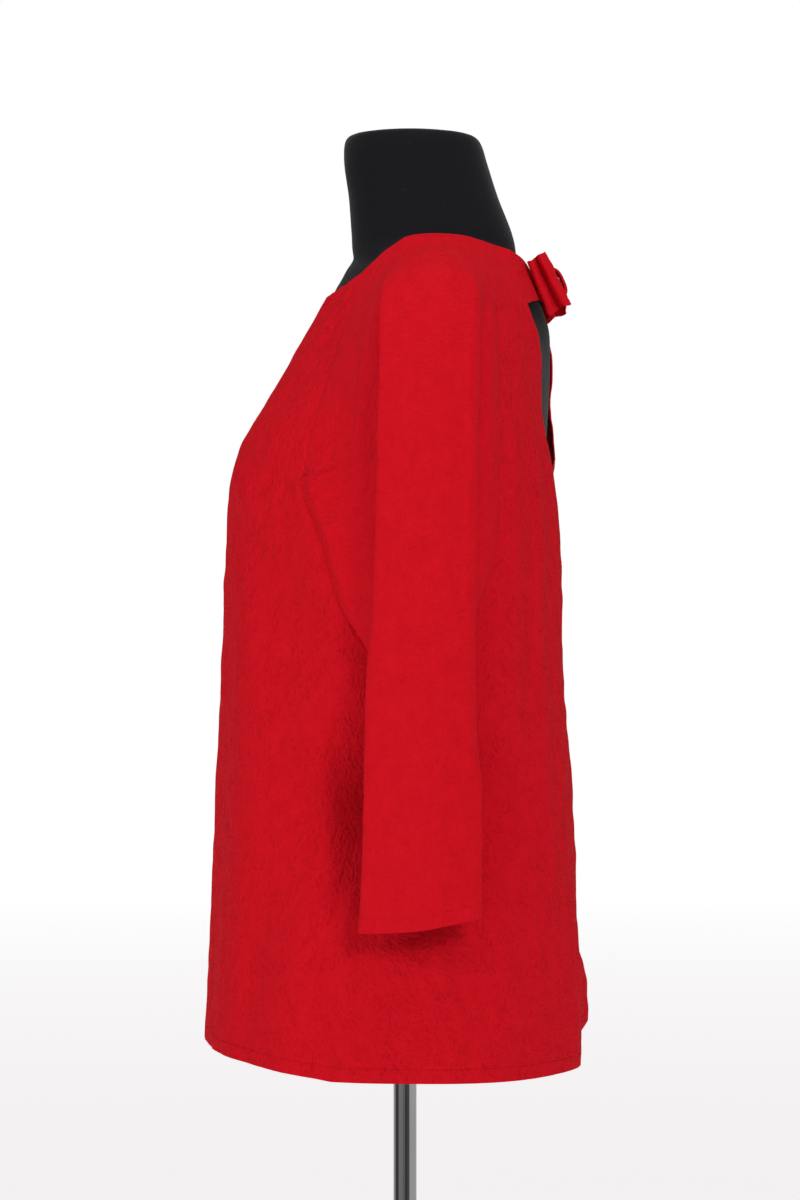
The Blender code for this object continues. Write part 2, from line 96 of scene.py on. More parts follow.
# Left sleeve, one line for each row: the columns between the front seam and the back seam, (x, y, z) each.
# They are the web in front, the front valley, the front fold twice, the outer face, the back fold twice and
# the back valley. From the underarm row down the first and last of them lie on the inner face.
SLEEVE = np.array(
    [
        ((69, -25, 1338), (73, -16, 1346), (76, -7, 1352), (79, 2, 1357), (81, 20, 1359),
         (79, 42, 1358), (74, 56, 1355), (67, 67, 1352)),
        ((93, -34, 1311), (99, -24, 1323), (104, -13, 1333), (109, 0, 1342), (113, 20, 1347),
         (112, 44, 1344), (108, 62, 1336), (101, 78, 1322)),
        ((128, -48, 1262), (141, -34, 1284), (152, -22, 1308), (159, -8, 1325), (164, 18, 1333),
         (162, 42, 1330), (156, 56, 1322), (147, 65, 1308)),
        ((147, -54, 1220), (165, -36, 1240), (184, -22, 1288), (190, -13, 1303), (197, 18, 1313),
         (192, 48, 1310), (182, 60, 1298), (166, 67, 1283)),
        ((156, -56, 1187), (173, -33, 1202), (197, -19, 1250), (204, -15, 1256), (211, 18, 1260),
         (205, 54, 1260), (196, 60, 1253), (172, 66, 1238)),
        ((158, -57, 1161), (175, -31, 1160), (200, -20, 1186), (209, -17, 1190), (216, 18, 1190),
         (209, 52, 1190), (200, 58, 1188), (175, 64, 1180)),
        ((166, -50, 1119), (178, -33, 1111), (202, -22, 1110), (211, -19, 1110), (219, 17, 1110),
         (212, 50, 1110), (202, 56, 1110), (180, 60, 1110)),
        ((173, -38, 1064), (184, -30, 1060), (204, -25, 1060), (213, -21, 1060), (222, 16, 1060),
         (214, 50, 1060), (204, 55, 1060), (185, 50, 1060)),
        ((182, -14, 1013), (190, -24, 1015), (206, -28, 1016), (215, -24, 1016), (224, 15, 1016),
         (216, 49, 1016), (206, 54, 1016), (189, 38, 1015)),
        ((192, -12, 937), (197, -23, 937), (209, -30, 937), (218, -25, 937), (228, 13, 937),
         (219, 49, 937), (210, 54, 937), (196, 36, 937)),
        ((197, -13, 873), (201, -25, 873), (213, -32, 873), (222, -27, 873), (233, 11, 873),
         (224, 49, 873), (215, 54, 873), (201, 37, 873)),
        ((199, -14, 842), (203, -27, 840), (215, -34, 840), (224, -29, 840), (236, 10, 843),
         (227, 49, 850), (217, 54, 851), (203, 38, 850)),
    ],
    float,
)
INNER_SEAM = ((179, 0, 1009), (190.5, 8, 937), (196, 9, 873), (198, 9, 846))  # rows 8 to 11

# Neck strap, upper edge and lower edge, from the shoulder to the centre back: (x, y, z).
STRAP = np.array(
    [
        ((58, 80, 1349), (92, 93, 1305)),
        ((42, 90, 1344), (66, 99, 1309)),
        ((22, 96.5, 1338), (36, 105.5, 1312)),
        ((0, 99.5, 1334), (0, 111, 1310)),
    ],
    float,
)

BOW_CENTRE = np.array((0, 116, 1327))
BOW_TILT = math.radians(24)  # the top of the bow leans towards the neck
BOW_SAG = 9  # the ends of the loops bend this far back round the neck
LOOP_HEIGHT, LOOP_WAIST = 44, 14  # height of a loop at its end and where the knot pinches it
LOOP_DEPTH = 1.05  # the rolls are this much deeper than their path
LOOP_SPREAD = 0.15  # how much deeper a loop is at its lower edge, and thinner at its upper edge
LOOP_PLEATS = (2.1, 3.4, 5.2)  # pleats across a loop, from the broadest
# One loop seen from above: distance out from the knot and depth behind the strap, round its two rolls.
LOOP_PATH = np.array(
    [
        (6, -3), (18, -5), (32, -7), (43, -8.5), (49, -6), (48.5, -2.5), (42, -0.3), (48, 2.5),
        (50, 6), (44, 8.5), (32, 7), (18, 5), (6, 3),
    ],
    float,
)
KNOT_WIDTH, KNOT_HEIGHT, KNOT_DEPTH = 20, 26, 19

# Dress form, from the top down: height, front y, back y, half width, y of the widest place, then how much
# of the depth the shoulder keeps in front and behind (1 is a plain oval).
FORM = np.array(
    [
        (1444.5, -36, 43, 39, 4, 1, 1),
        (1442.5, -44, 54, 47, 4, 1, 1),
        (1436, -47.5, 60, 50, 6, 1, 1),
        (1420, -47.5, 65, 51, 8, 1, 1),
        (1395, -44, 73, 53, 14, 1, 1),
        (1368, -42, 83.5, 57, 20, 1, 1),
        (1352, -43, 89, 66, 22, 0.9, 0.9),
        (1342, -46, 93, 98, 22, 0.5, 0.55),
        (1333, -49, 96, 134, 21, 0.45, 0.55),
        (1322, -55, 101, 160, 20, 0.45, 0.6),
        (1309, -61, 107, 171, 18, 0.5, 0.7),
        (1290, -71, 113, 175, 16, 0.6, 0.8),
        (1265, -85, 113.5, 172, 14, 0.72, 0.9),
        (1235, -103, 112.5, 163, 12, 0.85, 0.92),
        (1205, -121, 110.5, 154, 10, 1, 0.97),
        (1175, -131, 110, 149, 8, 1, 1),
        (1140, -130, 109, 146, 6, 1, 1),
        (1090, -114, 106, 140, 4, 1, 1),
        (1030, -100, 99, 127, 2, 1, 1),
        (960, -92, 94, 120, 2, 1, 1),
        (880, -98, 104, 138, 2, 1, 1),
        (800, -104, 114, 156, 4, 1, 1),
        (775, -104, 115, 158, 4, 1, 1),
    ]
)
FORM_SQUARENESS = 0.88  # below the shoulders; 1 is an ellipse
SHOULDER_END, SQUARE_OVER = 1300, 80  # height where the squareness starts, and the height it comes in over
NECK_BUMP = 62  # reach of the neck and chest across a shoulder section
FORM_SIDES = 128
GATHER_Y, GATHER_DEPTH = -24, 2.2  # place and depth of the gather in the neck's cap

# Turned metal pieces: (radius, height) up the outside from the axis and back to it.
FOOT_PROFILE = (
    (0, 0), (176, 0), (179, 0.8), (180, 2.6), (180, 4.6), (178.6, 6.8), (175, 7.9), (60, 8), (0, 8),
)
SOCKET_PROFILE = (
    (0, 8.3), (16.4, 8.3), (17, 9), (17, 14), (16, 15), (16, 47), (16.8, 48), (16.8, 52), (15.8, 53.3),
    (0, 53.3),
)
FLANGE_PROFILE = ((0, 768.7), (43.8, 768.7), (45, 769.8), (45, 773.6), (43.8, 774.7), (0, 774.7))

# ---------------------------------------------------------------- folds and creases, in millimetres

# Each crease follows a line of places, (distance across the cloth, height), and has a half width, how far
# it stands out (in where that is negative), and a lean: above 0 the trough lies on the right of the line's
# direction and the ridge on its left. On the front the distance runs from the centre front towards the
# wearer's left, on a back from its centre line, and on a sleeve from the middle of its outer face
# towards the back, with the distance down from the neckline in place of the height.
FRONT_CREASES = (
    # the flare and the deep valleys beside it, left and right
    (((205, 720), (204, 800), (200, 880)), 20, 5.0, 0),
    (((232, 720), (232, 800), (228, 890)), 13, -5.5, 0),
    (((-215, 720), (-205, 870)), 24, 4.5, 0),
    (((-240, 720), (-236, 880)), 16, -4.0, 0),
    # hollow beside the underarm's overhang
    (((130, 1158), (140, 1138), (153, 1108), (173, 1058), (192, 1006)), 22, -7.5, 0),
    (((-130, 1158), (-140, 1138), (-153, 1108), (-173, 1058), (-192, 1006)), 22, -6.5, 0),
    # under the bust, from the armhole towards the side front
    (((118, 1172), (140, 1166), (160, 1162)), 9, -3.2, 0.4),
    (((92, 1142), (118, 1106), (140, 1060), (152, 1000)), 22, -7.0, 0),
    (((52, 1178), (82, 1166), (108, 1140)), 13, 2.6, 0),
    (((-112, 1174), (-138, 1166), (-158, 1162)), 9, -3.0, -0.4),
    (((-90, 1146), (-120, 1116), (-146, 1082), (-166, 1048)), 12, -2.6, 0.5),
    # drags from the neckline over the upper chest
    (((70, 1322), (74, 1290), (66, 1250)), 8, 1.5, 0.4),
    (((84, 1300), (94, 1272), (86, 1230), (74, 1200)), 9, -1.2, 0.3),
    (((48, 1312), (52, 1280), (50, 1240)), 9, 1.0, 0),
    (((-66, 1322), (-72, 1288), (-64, 1240)), 8, 1.3, -0.4),
    (((-86, 1296), (-92, 1262), (-82, 1220)), 9, -1.1, 0),
    (((-30, 1310), (-28, 1270)), 8, 0.8, 0),
    (((12, 1304), (10, 1262)), 8, 0.8, 0),
    # long soft falls from the bust to the hem
    (((104, 1120), (118, 1010), (126, 900), (130, 730)), 20, 2.2, 0.2),
    (((150, 1080), (168, 1000), (176, 930), (178, 850)), 13, -3.0, 0),
    (((60, 1130), (70, 960), (78, 730)), 24, -2.2, 0),
    (((20, 1140), (22, 900), (26, 730)), 20, 1.6, 0),
    (((-24, 1140), (-30, 900), (-36, 730)), 22, -2.0, 0),
    (((-70, 1130), (-84, 960), (-92, 730)), 22, 2.4, 0.2),
    (((-120, 1110), (-140, 980), (-150, 740)), 20, -3.0, 0),
    (((-172, 1040), (-184, 900), (-186, 800)), 16, 2.2, 0),
    (((156, 900), (160, 820), (160, 730)), 14, -2.4, 0),
    (((96, 860), (100, 790), (100, 730)), 14, 1.2, 0),
    # small ones
    (((186, 960), (198, 930), (204, 890)), 7, 1.0, 0.5),
    (((30, 1010), (60, 996)), 7, 0.7, 0.5),
    (((120, 1000), (140, 985), (158, 980)), 6, 0.8, 0.4),
    (((8, 1092), (36, 1086)), 7, 0.6, 0.4),
    (((-110, 1020), (-84, 1006)), 7, 0.8, 0.4),
    (((100, 930), (116, 906)), 7, 0.7, 0.3),
    (((138, 860), (150, 838), (166, 830)), 6, 0.7, 0.3),
)
BACK_LEFT_CREASES = (
    (((108, 715), (104, 780), (98, 850)), 30, 6.0, 0),
    (((45, 715), (45, 850)), 26, -4.0, 0),
    (((168, 1280), (172, 1200), (184, 1100), (194, 1020)), 9, -2.4, -0.3),
    (((150, 1200), (156, 1120), (160, 1040), (168, 940)), 10, 1.8, 0.3),
    (((134, 1230), (136, 1130), (140, 1010), (150, 880)), 9, -1.5, 0),
    (((112, 1196), (116, 1090), (118, 980), (126, 860)), 9, 1.6, 0.2),
    (((92, 1240), (94, 1160), (98, 1060)), 9, -1.2, 0),
    (((70, 1180), (74, 1060), (84, 900)), 14, 1.8, 0),
    (((30, 1150), (32, 980), (34, 860)), 14, 1.6, 0),
    (((10, 1180), (12, 1100)), 10, -1.2, 0),
    (((66, 1232), (49, 1210), (22, 1190)), 13, -4.5, 0),
    (((112, 1280), (98, 1240)), 9, -0.9, 0),
    (((200, 960), (214, 880), (222, 800)), 13, -2.2, 0),
    (((236, 900), (250, 820), (256, 740)), 17, 2.6, 0),
    (((290, 900), (306, 820), (312, 740)), 12, -2.4, 0),
    (((172, 860), (178, 790), (182, 730)), 14, -1.6, 0),
    (((180, 1010), (196, 990)), 6, 0.9, 0.5),
    (((120, 1020), (142, 1010)), 6, 0.7, 0.4),
    (((150, 900), (170, 884)), 6, 0.7, 0.4),
    (((60, 960), (84, 948)), 7, 0.6, 0.4),
)
BACK_RIGHT_CREASES = (
    (((64, 690), (64, 805)), 25, 13.0, 0),
    (((118, 715), (114, 860)), 26, -3.0, 0),
    (((166, 1280), (174, 1190), (186, 1090), (196, 1010)), 9, -2.2, -0.3),
    (((146, 1210), (152, 1110), (162, 960)), 10, 1.8, 0.3),
    (((128, 1220), (130, 1100), (138, 930)), 10, -1.6, 0),
    (((100, 1180), (102, 1060), (108, 930)), 10, 1.5, 0),
    (((66, 1190), (70, 1060), (78, 900)), 14, 1.6, 0),
    (((28, 1160), (32, 980), (34, 860)), 14, -1.4, 0),
    (((204, 970), (220, 880), (228, 790)), 13, -2.2, 0),
    (((244, 900), (256, 820), (262, 740)), 17, 2.4, 0),
    (((294, 900), (306, 820), (312, 740)), 12, -2.2, 0),
    (((90, 1010), (112, 998)), 7, 0.7, 0.4),
    (((180, 1030), (198, 1012)), 6, 0.8, 0.4),
)
SLEEVE_CREASES = (
    # edge of the form's shoulder under the cloth
    (((-26, 76), (-4, 108), (12, 125), (24, 140)), 4.5, -1.0, 0.8),
    (((-10, 70), (10, 88), (26, 92)), 5, 0.7, 0.5),
    (((-30, 100), (-12, 118), (4, 134)), 5, 0.6, 0.4),
    (((10, 104), (28, 118), (40, 122)), 5, 0.7, 0.5),
    (((-18, 150), (6, 144), (26, 150)), 5, 0.6, 0.4),
    # overhang of the underarm beside the front seam
    (((-150, 182), (-132, 252), (-112, 307), (-98, 351), (-82, 384)), 10, 4.5, 0),
    # lengthwise: the crisp folds and the valleys beside them
    (((-46, 84), (-51, 131), (-53, 182), (-54, 252), (-56, 320), (-58, 380)), 6, -5.0, 0),
    (((-37, 84), (-37, 182), (-36, 320), (-38, 500)), 5, 1.2, 0),
    (((58, 112), (52, 182), (52, 252), (53, 330), (53, 470)), 13, -13.0, 0),
    (((34, 118), (31, 182), (31, 330), (34, 500)), 5, 2.2, 0),
    (((-62, 96), (-70, 180), (-62, 280), (-54, 360)), 9, -2.0, 0),
    (((-92, 120), (-104, 180), (-92, 240), (-80, 310)), 13, 3.0, 0.2),
    (((-126, 100), (-140, 150), (-128, 200), (-108, 260)), 10, -1.4, 0),
    (((62, 130), (60, 220), (58, 330)), 7, -1.6, 0),
    # soft waves of the flat outer face
    (((-14, 200), (-10, 330), (-12, 470), (-8, 600)), 15, -0.8, 0),
    (((18, 220), (20, 380), (16, 520)), 14, 0.6, 0),
    (((-6, 262), (14, 256), (30, 262)), 6, 0.6, 0.5),
    (((-24, 330), (-4, 322)), 6, 0.5, 0.4),
    (((4, 402), (28, 394)), 6, 0.6, 0.5),
    (((-20, 470), (6, 462)), 7, 0.5, 0.5),
    (((0, 556), (24, 548), (34, 540)), 7, 0.6, 0.5),
    (((-26, 560), (-10, 566)), 7, 0.5, 0.3),
    (((-80, 470), (-84, 590)), 8, 1.2, 0),
    (((80, 470), (84, 590)), 8, 1.2, 0),
)

# The body's sides are pressed in under the sleeves: how far, the y of the deepest place, the reach from
# front to back, and the x from which a side moves the whole way.
PRESS_DEPTH, PRESS_Y, PRESS_REACH, PRESS_FROM_X = 44, 8, 80, 100
# The heights between which the sides are pressed in, each with the height that it is eased over.
PRESS_TOP, PRESS_TOP_EASE = 1006, 75
PRESS_BOTTOM, PRESS_BOTTOM_EASE = 805, 135
# The right edge of the slit stands out: how far, over what width, and the heights where this starts and
# is full.
GAPE, GAPE_WIDTH, GAPE_FROM, GAPE_FULL = 18, 28, 1180, 1277
# The right back's hem stands out in a flare and lifts there: its place from the centre, reach and lift.
FLARE_PLACE, FLARE_REACH, FLARE_LIFT = 64, 40, 16
SEAM_FADE = 12  # folds fade to nothing over this distance to a seam
GROOVE_DEPTH, GROOVE_REACH = 0.25, 2.6  # the shallow groove that is left along a seam
PUCKERS = ((9, 0.16), (14, 0.20), (24, 0.22))  # size and height of the cloth's small waves
WAVES_PER_SIZE = 9
BOW_CLOTH = 0.9  # thickness of the bow's cloth
BOW_HEM_SHIFT = 4  # a loop's stitched line is this much nearer to its edge than a hem's
FAR = 1000  # stands for no seam, or no finished edge, near


def through(knots, values, at):
    """Smooth curve through the values at the knots: cubic pieces whose slopes come from the neighbours."""
    knots = np.asarray(knots, float)
    values = np.asarray(values, float)
    at = np.asarray(at, float)
    slopes = np.gradient(values, knots, axis=0)
    i = np.clip(np.searchsorted(knots, at, side="right") - 1, 0, len(knots) - 2)
    shape = (len(at),) + (1,) * (values.ndim - 1)
    step = (knots[i + 1] - knots[i]).reshape(shape)
    t = ((at - knots[i]) / (knots[i + 1] - knots[i])).reshape(shape)
    return (
        (2 * t**3 - 3 * t**2 + 1) * values[i]
        + (t**3 - 2 * t**2 + t) * step * slopes[i]
        + (3 * t**2 - 2 * t**3) * values[i + 1]
        + (t**3 - t**2) * step * slopes[i + 1]
    )


def steps(counts, start=0):
    """Parameters that run from start through whole numbers, with counts[i] equal steps in each unit."""
    runs = [start + i + np.arange(n) / n for i, n in enumerate(counts)]
    return np.append(np.concatenate(runs), start + len(counts))


ROWS_DOWN_TO_UNDERARM = steps((8, 16, 8, 8, 8, 12, 14, 14))
ROWS_TO_HEM = steps((18, 24, 24), UNDERARM_ROW)[1:]
ROWS_TO_CUFF = steps((18, 14, 8), UNDERARM_ROW)[1:]
FRONT_COLUMNS = 150
BACK_COLUMNS = 84
SLEEVE_COLUMNS = steps((8, 12, 10, 6, 14, 14, 6, 10, 10))


def oval(angle, half_width, mid, depth, flat):
    """Point of an oval at an angle from its front or back: the sine gives x and the cosine gives y."""
    x = half_width * np.sin(angle) ** np.minimum(flat, 1)
    return x, mid + depth * np.abs(np.cos(angle)) ** flat


def reach_of_edge(edge_x, edge_y, mid, depth, flat):
    """Angle and half width of the oval that passes through a side edge."""
    share = np.clip((edge_y - mid) / depth, 0, 1) ** (1 / flat)
    angle = np.arccos(share)
    return angle, edge_x / np.sin(angle) ** np.minimum(flat, 1)


def eased(share):
    """A share from 0 to 1 that starts and ends gently: three of its squares less two of its cubes."""
    share = np.clip(share, 0, 1)
    return (3 - 2 * share) * share**2


def pressed_in(grid):
    """The body's sides, pressed in under the sleeve between the underarm and the flare: a bell from front to
    back, eased in below the underarm and out above the hem."""
    x, y, z = np.moveaxis(grid, 2, 0)
    ends = eased((PRESS_TOP - z) / PRESS_TOP_EASE) * eased((z - PRESS_BOTTOM) / PRESS_BOTTOM_EASE)
    bell = np.exp(-(((y - PRESS_Y) / PRESS_REACH) ** 2))
    depth = PRESS_DEPTH * bell * ends * np.clip(np.abs(x) / PRESS_FROM_X, 0, 1)
    return np.stack([x - np.sign(x) * depth, y, z], axis=2)


def front_grid():
    """Rows of ovals from the right side edge over the centre front to the left side edge."""
    rows = np.append(ROWS_DOWN_TO_UNDERARM, ROWS_TO_HEM)
    table = through(range(LAST_ROW + 1), FRONT, rows)[:, None, :]
    centre_y, centre_z, edge_x, edge_y, edge_z, mid, flat = np.moveaxis(table, 2, 0)
    across = np.linspace(-1, 1, FRONT_COLUMNS + 1)
    angle, half_width = reach_of_edge(edge_x, edge_y, mid, centre_y - mid, flat)
    x, y = oval(np.abs(across) * angle, half_width, mid, centre_y - mid, flat)
    z = centre_z + (edge_z - centre_z) * np.abs(across) ** 2.5
    return pressed_in(np.stack([np.sign(across) * x, y, np.broadcast_to(z, x.shape)], axis=2))


def back_grid():
    """Rows of ovals of the left back, from its side edge to the slit or the centre back seam, and half the
    slit's width at each row."""
    rows = np.append(ROWS_DOWN_TO_UNDERARM[ROWS_DOWN_TO_UNDERARM >= FIRST_BACK_ROW], ROWS_TO_HEM)
    knots = np.arange(FIRST_BACK_ROW, LAST_ROW + 1)
    table = through(knots, BACK, rows)[:, None, :]
    _, centre_y, centre_z, edge_x, edge_y, edge_z, mid, flat = np.moveaxis(table, 2, 0)
    front = through(range(LAST_ROW + 1), FRONT, rows)[:, None, :]
    side_seam = rows[:, None] >= UNDERARM_ROW
    edge_x, edge_y, edge_z = (
        np.where(side_seam, front[..., k], own) for k, own in ((2, edge_x), (3, edge_y), (4, edge_z))
    )
    slit = np.maximum(np.sqrt(np.interp(rows, knots, BACK[:, 0] ** 2)), SEAM / 2)[:, None]
    behind = edge_y > mid
    depth = np.where(behind, centre_y, front[..., 0]) - mid
    edge, half_width = reach_of_edge(edge_x, edge_y, mid, depth, flat)
    edge = np.where(behind, edge, math.pi - edge) - SEAM / half_width
    start = np.arcsin((slit / half_width) ** (1 / np.minimum(flat, 1)))
    share = np.linspace(0, 1, BACK_COLUMNS + 1)
    angle = edge + (start - edge) * share
    depth = np.where(angle < math.pi / 2, centre_y, front[..., 0]) - mid
    x, y = oval(angle, half_width, mid, depth, flat)
    z = edge_z + (centre_z - edge_z) * share
    z[0] -= SEAM
    return pressed_in(np.stack([x, y, z], axis=2)), slit


def side_edges():
    """Front and back edges of the left sleeve, along the front panel and the back panel, at their rows."""
    front = front_grid()[: len(ROWS_DOWN_TO_UNDERARM), -1]
    back = back_grid()[0]
    above = ROWS_DOWN_TO_UNDERARM[ROWS_DOWN_TO_UNDERARM <= FIRST_BACK_ROW]
    seam = back[0, ::-1]
    along = np.linspace(1, FIRST_BACK_ROW, len(seam))
    over_back = through(along, seam, above[above >= 1])
    neck_to_seam = STRAP[0, 0] + (over_back[0] - STRAP[0, 0]) * above[above < 1][:, None]
    down = back[1 : 1 + np.sum(ROWS_DOWN_TO_UNDERARM > FIRST_BACK_ROW), 0]
    return front, np.concatenate([neck_to_seam, over_back, down])


def sleeve_grid():
    """Rows from the front seam over the shoulder and outer face to the back seam, then a closed tube. Each
    row is a smooth curve through its columns, and seam edges are drawn in by the gap."""
    rows = np.append(ROWS_DOWN_TO_UNDERARM, ROWS_TO_CUFF)
    middle = through(range(LAST_ROW + 1), SLEEVE, rows)
    front, back = side_edges()
    inner = through(range(UNDERARM_ROW, LAST_ROW + 1), INNER_SEAM, ROWS_TO_CUFF)
    edge_rows = len(front)
    front[-1] = back[-1] = INNER_SEAM[0]
    edges = [np.concatenate([edge, inner])[:, None] for edge in (front, back)]
    knots = np.concatenate([edges[0], middle, edges[1]], axis=1)
    grid = np.moveaxis(through(range(10), np.moveaxis(knots, 1, 0), SLEEVE_COLUMNS), 0, 1).copy()
    for edge, beside in ((0, 1), (-1, -2)):
        inward = grid[: edge_rows - 1, beside] - grid[: edge_rows - 1, edge]
        inward /= np.linalg.norm(inward, axis=1)[:, None]
        first = 0 if edge == 0 else np.argmax(rows >= 1)
        grid[first : edge_rows - 1, edge] += SEAM * inward[first:]
    return grid


def strap_grid(sleeve):
    """The strap from the sleeve's last column to the centre back, straight from its upper to its lower edge,
    with as many rows as the sleeve has there."""
    rows = int(np.sum(ROWS_DOWN_TO_UNDERARM <= 1))
    down = np.linspace(0, 1, rows)[None, :, None]
    along = through(range(len(STRAP)), STRAP, steps((10, 10, 10)))
    grid = along[:, :1] + (along[:, 1:] - along[:, :1]) * down
    grid[0] = sleeve[:rows, -1]
    grid[-1, :, 0] = SEAM / 2
    return np.moveaxis(grid, 0, 1)


# ---------------------------------------------------------------- cloth with folds


def run_along(grid, axis):
    """Distance along a grid's rows or columns from their first point."""
    step = np.linalg.norm(np.diff(grid, axis=axis), axis=2)
    first = np.zeros((len(grid), 1) if axis else (1, grid.shape[1]))
    return np.concatenate([first, np.cumsum(step, axis=axis)], axis=axis)


def normals(grid):
    """Unit normals that point out of the blouse: the way down a column crossed with the way along a row."""
    across = np.gradient(grid, axis=1)
    down = np.gradient(grid, axis=0)
    normal = np.cross(down, across)
    return normal / np.maximum(np.linalg.norm(normal, axis=2), 1e-9)[..., None]


def relief(place, creases):
    """How far the creases lift the cloth: a bell across each line, leant over and fading at its ends."""
    total = np.zeros(place.shape[:2])
    for line, width, amount, lean in creases:
        line = np.asarray(line, float)
        lengths = np.linalg.norm(np.diff(line, axis=0), axis=1)
        starts = np.concatenate([[0], np.cumsum(lengths)])
        nearest = np.full(total.shape, np.inf)
        side = np.zeros(total.shape)
        along = np.zeros(total.shape)
        for a, b, length, start in zip(line, line[1:], lengths, starts):
            way = (b - a) / length
            from_start = place - a
            t = np.clip(from_start @ way, 0, length)
            off = from_start - t[..., None] * way
            distance = np.linalg.norm(off, axis=2)
            closer = distance < nearest
            nearest = np.where(closer, distance, nearest)
            side = np.where(closer, off[..., 1] * way[0] - off[..., 0] * way[1], side)
            along = np.where(closer, start + t, along)
        share = np.abs(2 * along / starts[-1] - 1)
        fade = 1 - 0.7 * share**3
        total += amount * fade * (1 + lean * side / width) * np.exp(-((nearest / width) ** 2))
    return total


def puckers(place, seed):
    """Small uneven waves, longer down the cloth than across it: a sum of sines in seeded directions."""
    rng = np.random.default_rng(seed)
    total = np.zeros(place.shape[:2])
    for size, amount in PUCKERS:
        for _ in range(WAVES_PER_SIZE):
            turn = rng.normal(0, 0.5) + rng.choice([0, 0, math.pi / 2])
            way = np.array([math.cos(turn), 0.45 * math.sin(turn)])
            wave = way * 2 * math.pi / (size * rng.uniform(0.8, 1.3))
            total += amount / math.sqrt(WAVES_PER_SIZE) * np.sin(place @ wave + rng.uniform(0, 2 * math.pi))
    return total


def moved_out(grid, lift, to_seam):
    """The grid moved along its normals, fading to nothing at a seam, where a shallow groove is left."""
    groove = GROOVE_DEPTH * np.exp(-((to_seam / GROOVE_REACH) ** 2))
    kept = lift * np.clip(to_seam / SEAM_FADE, 0, 1) ** 1.2 - groove
    return grid + normals(grid) * kept[..., None]


def border_of(mesh, points):
    """For each edge, whether it lies on the open border once points at one place are joined."""
    ends = np.empty(len(mesh.edges) * 2, np.int32)
    mesh.edges.foreach_get("vertices", ends)
    around = np.empty(len(mesh.loops), np.int32)
    mesh.loops.foreach_get("edge_index", around)
    _, joined = np.unique(np.round(points / 0.02).astype(np.int64), axis=0, return_inverse=True)
    ends = np.sort(joined.reshape(-1)[ends].reshape(-1, 2), axis=1)
    _, edge_at, uses = np.unique(
        (ends[:, 0] * len(points) + ends[:, 1])[around], return_inverse=True, return_counts=True
    )
    border = np.zeros(len(ends), bool)
    border[around] = uses[edge_at] == 1
    return border


def add_piece(name, grids, places, edges, wall, material, flip=False):
    """A mesh from one or more grids that share an edge, with a UV map in metres, an attribute holding each
    point's distance to the nearest finished edge, and a wall grown inwards."""
    points, uvs, hems, faces = [], [], [], []
    offset = 0
    for grid, place, edge in zip(grids, places, edges):
        rows, columns = grid.shape[:2]
        index = offset + np.arange(rows * columns).reshape(rows, columns)
        corners = [index[:-1, :-1], index[1:, :-1], index[1:, 1:], index[:-1, 1:]]
        quads = np.stack(corners, axis=2).reshape(-1, 4)
        faces.append(quads[:, ::-1] if flip else quads)
        points.append(grid.reshape(-1, 3))
        uvs.append(place.reshape(-1, 2))
        hems.append(edge.reshape(-1))
        offset += rows * columns
    points, uvs, hems, faces = (np.concatenate(part) for part in (points, uvs, hems, faces))
    mesh = bpy.data.meshes.new(name)
    mesh.from_pydata(points * MM, [], faces.tolist())
    point_of = np.empty(len(mesh.loops), np.int32)
    mesh.loops.foreach_get("vertex_index", point_of)
    cloth_map = mesh.uv_layers.new(name="cloth")
    cloth_map.data.foreach_set("uv", (uvs[point_of] * MM).astype(np.float32).ravel())
    to_edge = mesh.attributes.new("to_edge", "FLOAT", "POINT")
    to_edge.data.foreach_set("value", (hems * MM).astype(np.float32))
    mesh.shade_smooth()
    sharp = mesh.attributes.new("sharp_edge", "BOOLEAN", "EDGE")
    sharp.data.foreach_set("value", border_of(mesh, points))
    mesh.materials.append(material)
    piece = bpy.data.objects.new(name, mesh)
    bpy.context.scene.collection.objects.link(piece)
    weld = piece.modifiers.new("Sew", "WELD")
    weld.merge_threshold = 0.00002
    if wall:
        thick = piece.modifiers.new("Wall", "SOLIDIFY")
        thick.thickness = wall * MM
        thick.offset = -1
    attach(piece, "root")
    return piece


def mirrored(grid):
    """The same grid on the other side of the body: x changes its sign."""
    return grid * (-1, 1, 1)


def without_hem(grid):
    """Distances that keep the stitched line off a piece with no hem."""
    return np.full(grid.shape[:2], float(FAR))


def across_and(grid, columns_from, second):
    """Places on a panel: the distance along its rows from one column, and a second measure."""
    distance = run_along(grid, 1)
    return np.stack([distance - distance[:, columns_from, None], second], axis=2)


def make_front(material):
    """The front panel, with seams at both side edges and hems at the neck and below."""
    grid = front_grid()
    place = across_and(grid, FRONT_COLUMNS // 2, grid[..., 2])
    round_it = run_along(grid, 1)
    to_seam = np.minimum(round_it, round_it[:, -1:] - round_it)
    down = run_along(grid, 0)
    edge = np.minimum(down, down[-1:] - down)
    lift = relief(place, FRONT_CREASES) + puckers(place, 3)
    shaped = moved_out(grid, lift, to_seam)
    piece = add_piece("front_cloth", [shaped], [place], [edge], CLOTH, material)
    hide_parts("front")
    return piece


